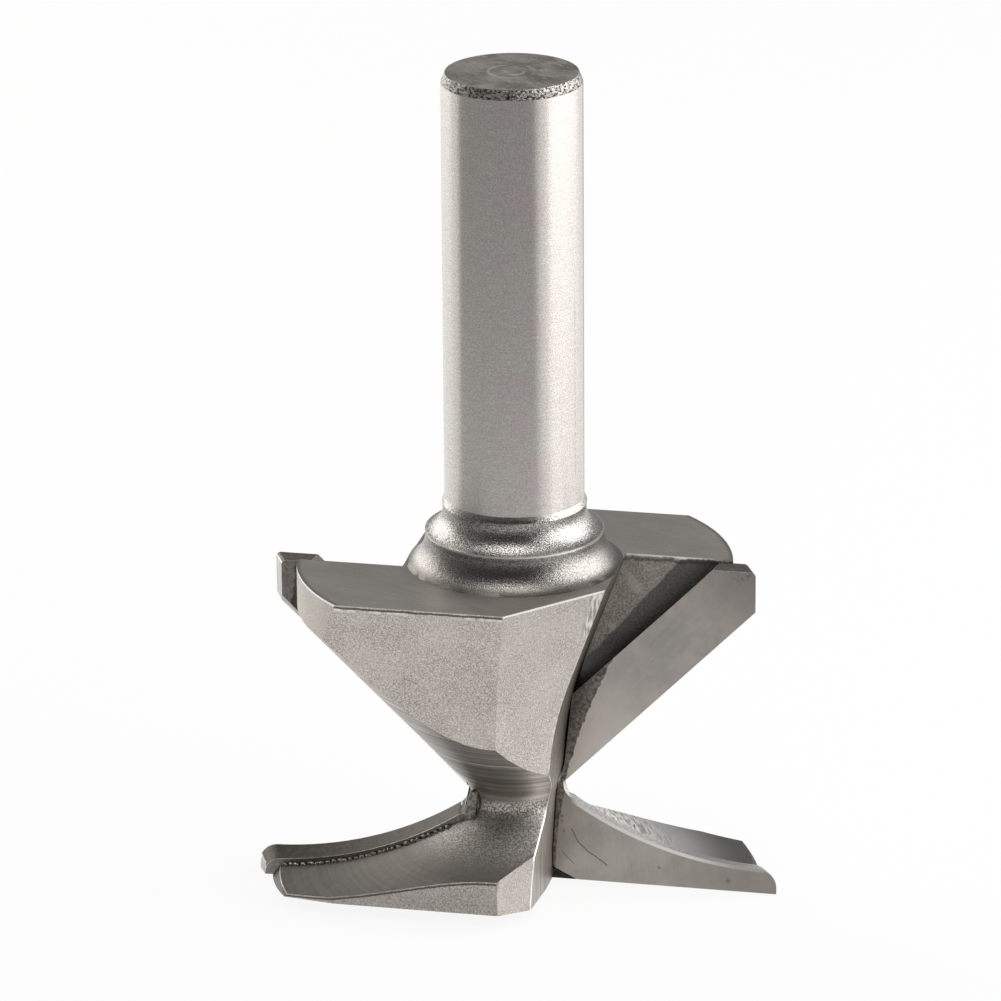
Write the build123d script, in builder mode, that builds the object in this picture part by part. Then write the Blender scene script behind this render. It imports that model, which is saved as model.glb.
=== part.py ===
from build123d import *
import os
from math import asin, atan2, cos, radians, sin, sqrt, tan

# Two-flute profile router bit, millimetres. The axis is Z, with the cutting end at the bottom.
# Both rake faces are parallel to XZ. Wing a is on +X and cuts towards -Y; wing b is a turned half round.

# Shank
shank_d = 12.7
shank_length = 39.35
end_chamfer_width = 0.37
end_chamfer_height = 0.9

# Hub between shank and head: a small ring, a cove, a sharp ridge and a second cove
ring_rise = 6.05
ring_step = 0.35
ring_height = 0.7
ridge_r = 8.15
ridge_rise = 3.15
ridge_land = 0.25
hub_foot_r = 9.9
upper_cove_sag = 0.75
lower_cove_sag = 0.55

# Radius that the upper plates cut, how much further the lower ones reach, and how far in the steel stays
upper_cut_r = 22.0
lower_reach = 2.1
head_inset = 2.15
rim_inset = 2.25
rim_taper = 0.95

# Cone and neck of the steel body
cone_slope = 1.14
cone_apex_z = 4.99
neck_r = 4.4
neck_upper_fillet = 3.0
neck_lower_fillet = 1.6

# Hollow upper side of the steel foot, from its lowest point outside the rim up to the neck
foot_cove_beyond = 1.65
foot_cove_low_z = 1.3
foot_cove_rise = 6.76

# Cutting profile on the rake faces
land_height = 4.08
bevel_angle = 45.0
bevel_root_z = 9.78
corner_r = 0.45
plate_drop = 0.25
plate_width = 5.5
plate_undercut = 0.2
cove_inset = 0.7
cove_low_z = 2.4
cove_rise = 6.19
nose_r = 1.8
root_fillet_r = 1.5
neck_land_x = 4.16
neck_land_gap = 0.1
root_step = 0.1

# Carbide plates
rake_offset = 1.36
tip_thickness = 2.15
od_relief = 1.0
bevel_relief = 0.95
cove_relief = 0.3
cove_sink = 0.25
braze_gap = 0.1
film_inset = 0.05
root_gap = 0.1
root_chamfer_width = 2.2
root_chamfer_height = 1.1

# Gullet wall, as it runs up the flute in the XZ plane
wall_foot_x = 3.08
wall_foot_z = 3.0
wall_neck_x = 3.45
wall_neck_z = 8.8
wall_throat_x = 4.15
wall_throat_z = 11.5
wall_bend_r = 10.0
wall_knee_x = 4.6
wall_knee_z = 18.0
wall_knee_r = 31.0
wall_top_x = 9.65

# Hollow relief faces behind each wing: a rear face and a slanted face, milled by large round cutters
waist_z = 10.8
rear_face_offset = 10.2
rear_cutter_r = 50.5
slant_angle = 48.1
slant_face_offset = 6.95
slant_cutter_r = 52.0
slant_reach = 3.0
end_relief_slope = 0.113

# Chamfer on the trailing corner of the foot: its width from the rim, and its slant to the rear face
heel_width = 7.35
heel_rise = 1.0
heel_angle = 11.5

# Derived sizes
shank_r = shank_d / 2
seat_offset = rake_offset + tip_thickness + braze_gap
head_r = upper_cut_r - head_inset
lower_cut_r = upper_cut_r + lower_reach
rim_r = lower_cut_r - rim_inset
foot_r = rim_r + rim_taper
cove_x = lower_cut_r - cove_inset
cove_r = ((cove_x - neck_land_x) ** 2 + cove_rise**2) / (2 * cove_rise)
foot_cove_x = rim_r + foot_cove_beyond
foot_cove_r = ((foot_cove_x - neck_r) ** 2 + foot_cove_rise**2) / (2 * foot_cove_rise)
root_low_x = neck_land_x + root_step
neck_land_top_z = bevel_root_z - neck_land_gap
bevel_slope = tan(radians(bevel_angle))
head_top_z = bevel_root_z + (upper_cut_r - root_low_x) * bevel_slope + land_height
ridge_z = head_top_z + ridge_rise
ring_z = head_top_z + ring_rise
shank_end_z = ring_z + ring_height + shank_length
throat_lean = atan2(wall_knee_x - wall_throat_x, wall_knee_z - wall_throat_z)
flare_lean = atan2(wall_top_x - wall_knee_x, head_top_z - wall_knee_z)
knee_rise = wall_knee_r * (1 / cos((flare_lean - throat_lean) / 2) - 1)
root_high_x = wall_knee_x + knee_rise + root_gap
wall_slope = (wall_throat_x - wall_neck_x) / (wall_throat_z - wall_neck_z)
clear = 60.0
overrun = 2.0
wings = {"a": 0.0, "b": 180.0}


def cove_z(x, drop=0.0):
    """Height of the concave cutting edge at a distance x from the axis, lowered by a parallel drop."""
    return cove_low_z + cove_r - sqrt((cove_r + drop) ** 2 - (cove_x - x) ** 2)


def foot_z(x):
    """Height of the hollow upper side of the steel foot at a distance x from the axis."""
    return foot_cove_low_z + foot_cove_r - sqrt(foot_cove_r**2 - (foot_cove_x - x) ** 2)


def bevel_z(x):
    """Height of the bevel edge at a distance x from the axis."""
    return bevel_root_z + (x - root_low_x) * bevel_slope


def beside_wall(z):
    """Distance from the axis at which a plate starts beside the narrow part of the gullet wall."""
    return wall_neck_x + (z - wall_neck_z) * wall_slope + root_gap


def rake_plane(turn, offset):
    """Plane parallel to a wing's rake face: x outward, y up, normal towards the cut."""
    outward = Vector(1, 0, 0).rotate(Axis.Z, turn)
    normal = Vector(0, -1, 0).rotate(Axis.Z, turn)
    return Plane(origin=normal * -offset, x_dir=outward, z_dir=normal)


def on_neck(edge):
    """True for the circles that bound the narrowest part of the neck."""
    return edge.geom_type == GeomType.CIRCLE and abs(edge.radius - neck_r) < 1e-6


def blank():
    """The turned steel blank: shank, hub, head, neck and foot."""
    cone_top_z = cone_slope * head_r + cone_apex_z
    cone_foot_z = cone_slope * neck_r + cone_apex_z
    mid_x = (rim_r + neck_r) / 2
    ring_r = shank_r + ring_step
    with BuildPart() as turned:
        with BuildSketch(Plane.XZ):
            with BuildLine():
                Polyline((0, 0), (foot_r, 0), (rim_r, foot_z(rim_r)))
                ThreePointArc(
                    (rim_r, foot_z(rim_r)),
                    (mid_x, foot_z(mid_x)),
                    (neck_r, foot_z(neck_r)),
                )
                Polyline(
                    (neck_r, foot_z(neck_r)),
                    (neck_r, cone_foot_z),
                    (head_r, cone_top_z),
                    (head_r, head_top_z),
                    (hub_foot_r, head_top_z),
                )
                SagittaArc(
                    (hub_foot_r, head_top_z),
                    (ridge_r, ridge_z - ridge_land),
                    lower_cove_sag,
                )
                Line((ridge_r, ridge_z - ridge_land), (ridge_r, ridge_z))
                SagittaArc((ridge_r, ridge_z), (ring_r, ring_z), upper_cove_sag)
                Polyline(
                    (ring_r, ring_z),
                    (shank_r, ring_z + ring_height),
                    (shank_r, shank_end_z - end_chamfer_height),
                    (shank_r - end_chamfer_width, shank_end_z),
                    (0, shank_end_z),
                    (0, 0),
                )
            make_face()
        revolve(axis=Axis.Z)
        neck_top = turned.edges().filter_by(on_neck).sort_by(Axis.Z)[-1]
        fillet(neck_top, neck_upper_fillet)
        neck_bottom = turned.edges().filter_by(on_neck).sort_by(Axis.Z)[0]
        fillet(neck_bottom, neck_lower_fillet)
    return turned.part


def flute(turn):
    """The gullet in front of one wing, cut back to the seat that its plates are brazed to."""
    top_z = head_top_z + overrun
    top_x = wall_top_x + tan(flare_lean) * (top_z - head_top_z)
    with BuildPart() as cut:
        with BuildSketch(rake_plane(turn, seat_offset)):
            with BuildLine():
                FilletPolyline(
                    (wall_foot_x, -overrun),
                    (wall_foot_x, wall_foot_z),
                    (wall_neck_x, wall_neck_z),
                    (wall_throat_x, wall_throat_z),
                    (wall_knee_x, wall_knee_z),
                    (top_x, top_z),
                    radius=[wall_bend_r, wall_bend_r, wall_bend_r, wall_knee_r],
                )
                Polyline(
                    (top_x, top_z),
                    (clear, top_z),
                    (clear, -overrun),
                    (wall_foot_x, -overrun),
                )
            make_face()
        extrude(amount=clear)
    return cut.part


def rear_relief(turn):
    """Hollow relief face along the back of one wing."""
    with BuildPart() as cut:
        with BuildSketch(Plane.YZ.offset(-clear)):
            with Locations((-(rear_face_offset + rear_cutter_r), waist_z)):
                Circle(rear_cutter_r)
        extrude(amount=2 * clear)
    return cut.part.rotate(Axis.Z, turn)


def slant_relief(turn):
    """Hollow relief face between the back of one wing and the other wing's gullet."""
    along = Vector(cos(radians(slant_angle)), sin(radians(slant_angle)), 0)
    across = Vector(sin(radians(slant_angle)), -cos(radians(slant_angle)), 0)
    start = along * -clear + across * (slant_face_offset + slant_cutter_r) + Vector(0, 0, waist_z)
    with BuildPart() as cut:
        with BuildSketch(Plane(origin=start, x_dir=across, z_dir=along)):
            Circle(slant_cutter_r)
        extrude(amount=clear + slant_reach)
    return cut.part.rotate(Axis.Z, turn)


def end_relief(turn):
    """Clearance under one wing, rising backwards from its cutting edge."""
    with BuildPart() as cut:
        with BuildSketch(Plane.YZ.offset(-clear)):
            with BuildLine():
                Polyline(
                    (rake_offset, 0),
                    (clear, end_relief_slope * (clear - rake_offset)),
                    (clear, -overrun),
                    (rake_offset, -overrun),
                    close=True,
                )
            make_face()
        extrude(amount=2 * clear)
    return cut.part.rotate(Axis.Z, turn)


def heel_relief(turn):
    """Chamfer on the trailing corner of the foot, behind the outer end of one wing."""
    heel_x = rim_r - heel_width
    heel_y = rear_face_offset + heel_rise
    with BuildPart() as cut:
        with BuildSketch(Plane.XY.offset(-overrun)):
            with BuildLine():
                Polyline(
                    (heel_x, heel_y),
                    (clear, heel_y - (clear - heel_x) * tan(radians(heel_angle))),
                    (clear, clear),
                    (heel_x, clear),
                    close=True,
                )
            make_face()
        extrude(amount=waist_z + overrun)
    return cut.part.rotate(Axis.Z, turn)


def root_corner(turn):
    """Steel left in the seat's inner bottom corner, under the chamfer of the lower plate."""
    with BuildPart() as corner:
        with BuildSketch(rake_plane(turn, seat_offset)):
            with BuildLine():
                Polyline(
                    (wall_foot_x - root_gap, 0),
                    (wall_foot_x + root_chamfer_width, 0),
                    (wall_foot_x, root_chamfer_height - root_gap),
                    (wall_foot_x - root_gap, root_chamfer_height - root_gap),
                    close=True,
                )
            make_face()
        extrude(amount=seat_offset - rake_offset)
    return corner.part


def upper_face(plane, outer_x, low_outer_z, root, width):
    """Face of an upper plate: bevel, outer land, round corner, top, long upper edge and root."""
    top_z = head_top_z - plate_drop
    high_line_z = bevel_z(0) + width / cos(radians(bevel_angle))
    with BuildSketch(plane) as face:
        with BuildLine():
            RadiusArc((outer_x - corner_r, top_z), (outer_x, top_z - corner_r), corner_r)
            Polyline(
                (outer_x, top_z - corner_r),
                (outer_x, low_outer_z),
                *root,
                (root_high_x, high_line_z + root_high_x * bevel_slope),
                ((top_z - high_line_z) / bevel_slope, top_z),
                (outer_x - corner_r, top_z),
            )
        make_face()
    return face.sketch


def upper_root(low_z):
    """Inner end of an upper plate, from the foot of its bevel to the gullet wall and up along it."""
    return [
        (root_low_x, low_z),
        (beside_wall(low_z), low_z),
        (wall_throat_x + root_gap, wall_throat_z),
    ]


def upper_tip(turn):
    """Carbide plate with the vertical land and the bevel edge; its back draws in from both."""
    back_r = upper_cut_r - od_relief
    with BuildPart() as tip:
        add(
            upper_face(
                rake_plane(turn, rake_offset),
                upper_cut_r,
                bevel_z(upper_cut_r),
                upper_root(bevel_root_z),
                plate_width,
            )
        )
        add(
            upper_face(
                rake_plane(turn, rake_offset + tip_thickness),
                back_r,
                bevel_z(back_r) + bevel_relief,
                upper_root(bevel_root_z + bevel_relief),
                plate_width - plate_undercut,
            )
        )
        loft(ruled=True)
    return tip.part


def upper_braze(turn):
    """Film of brazing alloy between an upper plate and its seat, ending where the steel ends."""
    cone_root_z = cone_slope * sqrt(root_low_x**2 + seat_offset**2) + cone_apex_z
    with BuildPart() as film:
        extrude(
            upper_face(
                rake_plane(turn, seat_offset),
                sqrt(head_r**2 - seat_offset**2),
                cone_slope * head_r + cone_apex_z,
                [(root_low_x, cone_root_z)],
                plate_width - plate_undercut,
            ),
            amount=braze_gap,
        )
    return film.part


def lower_face(plane, outer_x, low_z, end_r, drop, sink):
    """Face of a lower plate: the concave edge and its neck land, the outer side, bottom and root."""
    edge_r = cove_r + drop
    bend_r = root_fillet_r + drop
    bend_x = neck_land_x + bend_r
    lean = asin((cove_x - bend_x) / (edge_r - bend_r))
    bend_z = cove_low_z + cove_r - (edge_r - bend_r) * cos(lean) - sink
    low_x = bend_x - bend_r * sin(lean)
    nose_x = outer_x - end_r
    nose_z = cove_z(nose_x, drop) - sink
    mid_x = (low_x + nose_x) / 2
    with BuildSketch(plane) as face:
        with BuildLine():
            RadiusArc((neck_land_x, bend_z), (low_x, cove_z(low_x, drop) - sink), -bend_r)
            ThreePointArc(
                (low_x, cove_z(low_x, drop) - sink),
                (mid_x, cove_z(mid_x, drop) - sink),
                (nose_x, nose_z),
            )
            RadiusArc((nose_x, nose_z), (outer_x, nose_z - end_r), end_r)
            Polyline(
                (outer_x, nose_z - end_r),
                (outer_x, low_z),
                (wall_foot_x + root_gap + root_chamfer_width, low_z),
                (wall_foot_x + root_gap, low_z + root_chamfer_height),
                (wall_foot_x + root_gap, wall_foot_z),
                (wall_neck_x + root_gap, wall_neck_z),
                (beside_wall(neck_land_top_z), neck_land_top_z),
                (neck_land_x, neck_land_top_z),
                (neck_land_x, bend_z),
            )
        make_face()
    return face.sketch


def lower_tip(turn):
    """Carbide plate with the concave edge and the rounded outer end; its back draws in from the edges."""
    with BuildPart() as tip:
        add(lower_face(rake_plane(turn, rake_offset), lower_cut_r, 0, nose_r, 0, 0))
        add(
            lower_face(
                rake_plane(turn, rake_offset + tip_thickness),
                lower_cut_r - od_relief,
                end_relief_slope * tip_thickness,
                nose_r - cove_relief,
                cove_relief,
                cove_sink,
            )
        )
        loft(ruled=True)
    return tip.part


def film_z(x):
    """Height at which a lower film ends, just inside the hollow side of the foot."""
    return foot_z(sqrt(x**2 + seat_offset**2)) - film_inset


def lower_braze(turn):
    """Film of brazing alloy between a lower plate and its seat, ending where the steel ends."""
    low_z = end_relief_slope * (tip_thickness + braze_gap)
    outer_x = sqrt(rim_r**2 - seat_offset**2)
    mid_x = (neck_land_x + outer_x) / 2
    with BuildPart() as film:
        with BuildSketch(rake_plane(turn, seat_offset)) as face:
            with BuildLine():
                ThreePointArc(
                    (neck_land_x, film_z(neck_land_x)),
                    (mid_x, film_z(mid_x)),
                    (outer_x, film_z(outer_x)),
                )
                Polyline(
                    (outer_x, film_z(outer_x)),
                    (outer_x, low_z),
                    (wall_foot_x + root_gap + root_chamfer_width, low_z),
                    (wall_foot_x + root_gap, low_z + root_chamfer_height),
                    (wall_foot_x + root_gap, wall_foot_z),
                    (neck_land_x, film_z(neck_land_x)),
                )
            make_face()
        extrude(amount=braze_gap)
    return film.part


with BuildPart() as steel_body:
    add(blank())
    for turn in wings.values():
        add(flute(turn), mode=Mode.SUBTRACT)
        add(root_corner(turn))
        add(rear_relief(turn), mode=Mode.SUBTRACT)
        add(slant_relief(turn), mode=Mode.SUBTRACT)
        add(heel_relief(turn), mode=Mode.SUBTRACT)
    for turn in wings.values():
        add(end_relief(turn), mode=Mode.SUBTRACT)

os.makedirs("parts", exist_ok=True)
steel_body.part.label = "steel_body"
export_step(steel_body.part, "parts/steel_body.step")
pieces = {
    "upper_tip": upper_tip,
    "lower_tip": lower_tip,
    "upper_braze": upper_braze,
    "lower_braze": lower_braze,
}
for wing, turn in wings.items():
    for kind, make in pieces.items():
        piece = make(turn)
        piece.label = f"{kind}_{wing}"
        export_step(piece, f"parts/{piece.label}.step")
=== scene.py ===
from math import cos, hypot, pi, radians, sin, sqrt
import random

import bmesh
import bpy
from mathutils import Matrix, Vector


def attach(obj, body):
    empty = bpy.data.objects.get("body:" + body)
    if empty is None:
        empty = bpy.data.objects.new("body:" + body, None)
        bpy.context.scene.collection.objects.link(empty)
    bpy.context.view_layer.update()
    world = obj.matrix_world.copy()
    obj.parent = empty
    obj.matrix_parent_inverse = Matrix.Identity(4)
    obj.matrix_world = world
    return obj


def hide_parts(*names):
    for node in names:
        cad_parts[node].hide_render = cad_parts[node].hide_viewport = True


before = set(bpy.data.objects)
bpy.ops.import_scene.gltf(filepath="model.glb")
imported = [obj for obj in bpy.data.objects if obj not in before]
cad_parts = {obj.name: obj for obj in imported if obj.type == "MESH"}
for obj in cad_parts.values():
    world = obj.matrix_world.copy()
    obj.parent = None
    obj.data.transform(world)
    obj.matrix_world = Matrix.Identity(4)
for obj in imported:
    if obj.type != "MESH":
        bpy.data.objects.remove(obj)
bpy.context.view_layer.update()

# Sizes on the bit are in millimetres, those of the lamps, the floor and the room in metres, as Blender works.
MM = 0.001
DIAGONAL = sqrt(2)

# The bit: wing a is on +X and cuts towards -Y, wing b is wing a turned half round the axis
RING_Z = 37.65
RIDGE_Z = 34.75
SHANK_FOOT_Z = 38.35
SHANK_CHAMFER_Z = 76.8
END_Z = 77.7
HEAD_TOP_Z = 31.6
HEAD_R = 19.85
SHANK_R = 6.35
NECK_Z = 10.8
SEAT_Y = 3.61
RAKE_Y = 1.36
BACK_Y = 3.51
REAR_CENTRE_Y = 60.7
REAR_R = 50.5
SLANT_ANGLE = radians(48.1)
SLANT_CENTRE = 58.95
SLANT_R = 52.0
RIM_R = 21.85
COVE_X = 23.4
COVE_Z = 35.4
COVE_R = 33.0
FOOT_COVE_X = 23.5
FOOT_COVE_Z = 31.66
FOOT_COVE_R = 30.36
RIM_TOP_Z = 1.26
GROOVE_Z = 14.8
CREST_Z = 14.6
CONE_FOOT_Z = 8.4
FOOT_UNDER_Z = 3.5
PIP_R = 1.1
LEDGE_R = 2.1

# Upper plates: their back edge and their bevel rise at 45 degrees, at these heights on the axis
BACK_EDGE_RISE = 13.0
BEVEL_RISE = 6.47

# Brazing stain and painted shade: the black band in the pockets, a stain deepened as a painted shadow of the plates,
# narrows upwards from this height, and the dark band of stain and painted shade on the back of the upper plates ends
# at this distance out
BAND_FOOT_Z = 16.0
BACK_STAIN_SHADE_X = 19.55
# Painted shade: the corner under a lower plate is near black up to this height
SHADED_CORNER_TOP_Z = 1.15

# Limits of the unground skin beside the gullet wall: distance from the axis, as a curve over the height
UPPER_SKIN_Z = 10.9
UPPER_SKIN_X, UPPER_SKIN_SLOPE, UPPER_SKIN_CURVE = 4.62, 0.27, 0.0094
LOWER_SKIN_X, LOWER_SKIN_CURVE = 3.33, 0.0125

# Wear: points are (x, y, z), those of a scratch on a flat face (x, z)
TINT_AZIMUTH = radians(22)
SHANK_SCRATCH = (6.04, -1.96, 0.0)
SHANK_SCRATCH_FOOT_Z, SHANK_SCRATCH_TOP_Z = 41.5, 56.0
REAR_PIT = (-10.12, -13.49, 29.08)
REAR_SCRATCH = [(-7.75, 23.99), (-7.08, 23.75), (-6.5, 23.45)]
LONG_SCRATCH = [(4.89, 4.99), (5.47, 3.79), (6.47, 2.88), (7.65, 2.1), (8.23, 1.65)]
SHORT_SCRATCH = [(3.99, 2.68), (4.52, 2.1), (5.17, 1.52)]
# x, z, radius and soft edge of each pit in the rake face of lower plate a
LOWER_PITS = [
    (4.01, 6.2, 0.14, 0.1),
    (4.02, 5.72, 0.12, 0.1),
    (4.19, 4.72, 0.1, 0.1),
    (13.12, 1.79, 0.14, 0.1),
    (19.6, 0.98, 0.2, 0.15),
]

# Edges: faces that meet at more than the sharp angle have their corner broken
MERGE_DISTANCE = 0.002
MOST_CORNERS = 100000
FLAT_ANGLE = radians(0.4)
SHARP_ANGLE = radians(24)
SHADED_SHARP_ANGLE = radians(50)
WALL_EDGE = 0.16
STEEL_EDGE = 0.08
CARBIDE_EDGE = 0.035

# Ring under the shank: lowered by this much, and proud of the shank by this much
RING_DROP = 0.42
RING_PROUD = 0.15

# Plates beside the neck: their back corners are eased from these heights, by these shares
UPPER_ROOT_Z, UPPER_ROOT_SHARE = 12.2, 0.8
UPPER_FOOT_Z, UPPER_FOOT_DROP = 9.9, 0.12
LOWER_ROOT_Z, LOWER_ROOT_SHARE = 7.6, 0.75
LOWER_ROOT_X = 5.6

# Brazing alloy: beads along the seam behind a lower plate, and a fillet up the neck
BEADS_FROM_X, BEADS_TO_X = 5.6, 21.2
BEAD_PROUD = 0.02
BEAD_DEPTH, BEAD_HEIGHT = 0.27, 0.24
FILLET_STEPS, FILLET_TAPER_STEP = 30, 12
FILLET_X, FILLET_Z, FILLET_RISE = 3.6, 5.6, 0.15
FILLET_WIDTH, FILLET_DEPTH, FILLET_HEIGHT = 0.66, 0.26, 0.36

# Camera, fitted to the photograph
LENS, SENSOR = 246.6, 36.0
CAMERA_AZIMUTH, CAMERA_ELEVATION, CAMERA_ROLL = radians(12.159), radians(19.639), radians(0.4)
CAMERA_DISTANCE = 621.53
AIM_Z, AIM_LEFT = 37.31, 1.266

# Lamps, floor and room. The lamps look at this height. Each fall holds where it starts and ends, and the values there
LAMP_AIM_Z = 0.04
FLOOR_SIZE, FLOOR_DROP = 6.0, 0.00002
FLOOR_GLOW = 0.9
MIRRORED_FALL = (0.045, 0.17, 0.95, 0.295)
CARDS_REACH = (0.07, 0.1, 0.0, 1.0)
ROOM_FALL = (-0.85, 0.1, 0.1, 0.36)
WALL_WAY = (0.85, 0.5, 0.1)
WALL_FALL = (0.45, 0.9, 0.0, 0.75)
# White cards in the mirrored floor: azimuth, cosines where the card starts and is full, brightness
CARDS = [(112, 0.31, 0.62, 1.03), (-122, 0.7, 0.85, 0.93)]


def tone(red, green, blue):
    """A screen colour from 0 to 255 as the linear colour that a shader takes."""
    linear = [(c / 255 / 12.92 if c < 10.3 else ((c / 255 + 0.055) / 1.055) ** 2.4) for c in (red, green, blue)]
    return (*linear, 1.0)


class Finish:
    """A metal finish built from nodes on the piece's own coordinates, in millimetres."""

    def __init__(self, name, roughness=0.5, anisotropic=0.0, light=1.0):
        self.light = light
        self.material = bpy.data.materials.new(name)
        self.material.use_nodes = True
        self.tree = self.material.node_tree
        self.tree.nodes.clear()
        output = self.tree.nodes.new("ShaderNodeOutputMaterial")
        self.shader = self.tree.nodes.new("ShaderNodeBsdfPrincipled")
        self.tree.links.new(self.shader.outputs["BSDF"], output.inputs["Surface"])
        self.shader.inputs["Metallic"].default_value = 1.0
        self.shader.inputs["Roughness"].default_value = roughness
        self.shader.inputs["Anisotropic"].default_value = anisotropic
        coordinates = self.tree.nodes.new("ShaderNodeTexCoord")
        self.place = self.vector("SCALE", coordinates.outputs["Object"], scale=1 / MM)
        self.x, self.y, self.z = self.parts(self.place)
        self.out = self.number("ABSOLUTE", self.x)

    def grey(self, level, warm=6):
        """A nearly neutral screen tone from 0 to 255, lightened or darkened by this finish's own measure."""
        colour = tone(level + warm * 0.8, level, level - warm * 0.85)
        return (*[min(c * self.light, 1.0) for c in colour[:3]], 1.0)

    def feed(self, socket, value):
        if isinstance(value, bpy.types.NodeSocket):
            self.tree.links.new(value, socket)
        elif value is not None:
            socket.default_value = value

    def number(self, operation, a, b=None, clamp=False):
        node = self.tree.nodes.new("ShaderNodeMath")
        node.operation = operation
        node.use_clamp = clamp
        for socket, value in zip(node.inputs, (a, b)):
            self.feed(socket, value)
        return node.outputs[0]

    def add(self, *values):
        result = values[0]
        for value in values[1:]:
            result = self.number("ADD", result, value)
        return result

    def times(self, *values):
        result = values[0]
        for value in values[1:]:
            result = self.number("MULTIPLY", result, value)
        return result

    def minus(self, a, b):
        return self.number("SUBTRACT", a, b)

    def most(self, *values):
        result = values[0]
        for value in values[1:]:
            result = self.number("MAXIMUM", result, value)
        return result

    def vector(self, operation, a, b=None, scale=None):
        node = self.tree.nodes.new("ShaderNodeVectorMath")
        node.operation = operation
        self.feed(node.inputs[0], a)
        self.feed(node.inputs[1], b)
        if scale is not None:
            self.feed(node.inputs["Scale"], scale)
        return node.outputs["Value"] if operation in ("LENGTH", "DOT_PRODUCT", "DISTANCE") else node.outputs[0]

    def parts(self, vector):
        node = self.tree.nodes.new("ShaderNodeSeparateXYZ")
        self.feed(node.inputs[0], vector)
        return node.outputs

    def joined(self, x, y, z):
        node = self.tree.nodes.new("ShaderNodeCombineXYZ")
        for socket, value in zip(node.inputs, (x, y, z)):
            self.feed(socket, value)
        return node.outputs[0]

    def stretched(self, scale):
        return self.vector("MULTIPLY", self.place, scale)

    def turned(self, angle, scale, axis=(0, 1, 0)):
        """The piece's coordinates turned about an axis, then scaled."""
        node = self.tree.nodes.new("ShaderNodeVectorRotate")
        node.rotation_type = "AXIS_ANGLE"
        node.inputs["Axis"].default_value = axis
        node.inputs["Angle"].default_value = angle
        self.feed(node.inputs["Vector"], self.place)
        return self.vector("MULTIPLY", node.outputs[0], scale)

    def noise(self, size, detail, vector=None, rough=0.5):
        """Even noise from 0 to 1 with lumps of about the given size."""
        node = self.tree.nodes.new("ShaderNodeTexNoise")
        node.inputs["Scale"].default_value = 1 / size
        node.inputs["Detail"].default_value = detail
        node.inputs["Roughness"].default_value = rough
        self.feed(node.inputs["Vector"], vector or self.place)
        return node.outputs["Fac"]

    def between(self, value, low, high, out_low=0.0, out_high=1.0):
        """Smooth step of a value from low to high."""
        node = self.tree.nodes.new("ShaderNodeMapRange")
        node.interpolation_type = "SMOOTHSTEP"
        for name, given in (("Value", value), ("From Min", low), ("From Max", high)):
            self.feed(node.inputs[name], given)
        node.inputs["To Min"].default_value = out_low
        node.inputs["To Max"].default_value = out_high
        return node.outputs[0]

    def line(self, distance, half_width, soft):
        """1 on a line, 0 beside it, with a soft edge."""
        return self.between(self.number("ABSOLUTE", distance), half_width + soft, half_width)

    def spot(self, centre, radius, soft):
        """1 within a radius of a point, 0 beyond it."""
        return self.between(self.vector("DISTANCE", self.place, centre), radius + soft, radius - soft)

    def blend(self, factor, a, b):
        node = self.tree.nodes.new("ShaderNodeMix")
        node.data_type = "RGBA"
        self.feed(node.inputs[0], factor)
        self.feed(node.inputs[6], a)
        self.feed(node.inputs[7], b)
        return node.outputs[2]

    def greys(self, value, low, high, level_low, level_high, warm=6):
        """One grey tone where a value is low, another where it is high."""
        return self.blend(self.between(value, low, high), self.grey(level_low, warm), self.grey(level_high, warm))

    def laid(self, under, mask, strength, level, warm=6):
        """A colour with a grey tone laid over it where a mask is 1."""
        return self.blend(self.times(mask, strength), under, self.grey(level, warm))

    def radius(self):
        """Distance from the axis."""
        return self.vector("LENGTH", self.joined(self.x, self.y, 0.0))

    def foot_height(self):
        """Height of the hollow upper side of the foot at this distance from the axis."""
        run = self.minus(FOOT_COVE_X, self.radius())
        fall = self.number("SQRT", self.minus(FOOT_COVE_R**2, self.times(run, run)))
        return self.minus(FOOT_COVE_Z, fall)

    def stroke(self, points, half_width, soft, wander):
        """Mask of a scratch through points given as (x, z), on a face parallel to XZ."""
        shift = self.minus(self.noise(0.5, 2), 0.5)
        strayed = self.joined(self.times(shift, wander), self.times(shift, -wander), 0.0)
        flat = self.vector("ADD", self.joined(self.x, self.z, 0.0), strayed)
        nearest = None
        for (x0, z0), (x1, z1) in zip(points, points[1:]):
            run = Vector((x1 - x0, z1 - z0, 0.0))
            offset = self.vector("SUBTRACT", flat, (x0, z0, 0.0))
            share = self.number("DIVIDE", self.vector("DOT_PRODUCT", offset, run), run.length_squared, clamp=True)
            foot = self.vector("SCALE", tuple(run), scale=share)
            away = self.vector("DISTANCE", offset, foot)
            nearest = away if nearest is None else self.number("MINIMUM", nearest, away)
        return self.between(nearest, half_width + soft, half_width)

    def colour(self, value):
        self.feed(self.shader.inputs["Base Color"], value)

    def roughness(self, value):
        self.feed(self.shader.inputs["Roughness"], value)

    def relief(self, *layers):
        """Bump from (height, depth in millimetres) layers."""
        normal = None
        for height, depth in layers:
            node = self.tree.nodes.new("ShaderNodeBump")
            node.inputs["Strength"].default_value = 1.0
            node.inputs["Distance"].default_value = depth * MM
            self.feed(node.inputs["Height"], height)
            self.feed(node.inputs["Normal"], normal)
            normal = node.outputs["Normal"]
        self.feed(self.shader.inputs["Normal"], normal)

    def upright(self):
        """Stretches highlights along the Z axis, as grinding round the axis does."""
        self.feed(self.shader.inputs["Tangent"], self.joined(0.0, 0.0, 1.0))


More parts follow.
